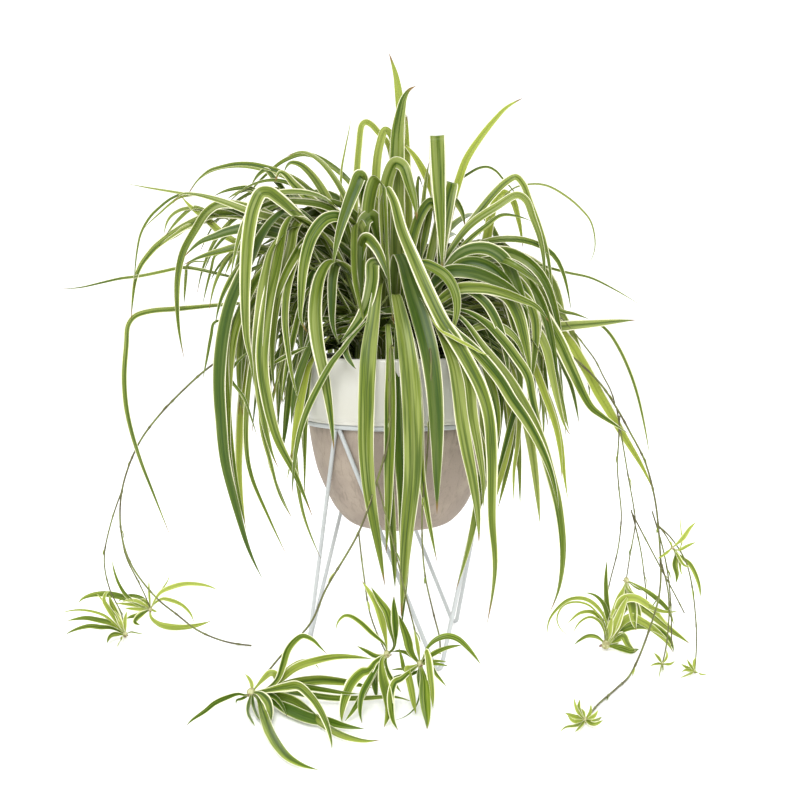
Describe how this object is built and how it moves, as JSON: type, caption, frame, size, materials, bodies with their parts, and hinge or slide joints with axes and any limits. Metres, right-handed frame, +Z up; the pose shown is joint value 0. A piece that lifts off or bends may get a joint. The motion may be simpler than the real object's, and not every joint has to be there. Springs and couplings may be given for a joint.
{
  "type": "potted spider plant",
  "caption": "Variegated spider plant in a round two-tone ceramic pot that hangs in a wire ring stand on hairpin legs, with runners and plantlets reaching the floor.",
  "frame": {"origin": "on the floor under the middle of the whole plant's box", "axes": "+Z up, -Y towards the front with the large plantlets, X along the widest spread of the leaves"},
  "size_m": [0.6738, 0.5556, 0.626],
  "materials": {
    "pot_ceramic": "white glazed band over an unglazed taupe body",
    "soil": "crumbly potting mix",
    "stand_wire": "white powder coat on steel wire",
    "leaf": "satin green strap leaf with cream margins",
    "runner": "smooth thin stem",
    "plantlet": "satin young leaf with pale margins"
  },
  "bodies": {
    "root": {"pot": "pot_ceramic", "soil": "soil", "stand_ring": "stand_wire", "stand_leg_left": "stand_wire", "stand_leg_front": "stand_wire", "stand_leg_back": "stand_wire", "leaf_tuft": "leaf", "runner_left": "runner", "runner_front": "runner", "runner_front_right": "runner", "runner_right": "runner", "plantlet_left": "plantlet", "plantlet_left_inner": "plantlet", "plantlet_front_left": "plantlet", "plantlet_front": "plantlet", "plantlet_front_right": "plantlet", "plantlets_right": "plantlet", "plantlet_right_hanging": "plantlet", "plantlet_right_low": "plantlet", "plantlet_right_outer": "plantlet", "plantlet_right_front": "plantlet"}
  },
  "joints": []
}
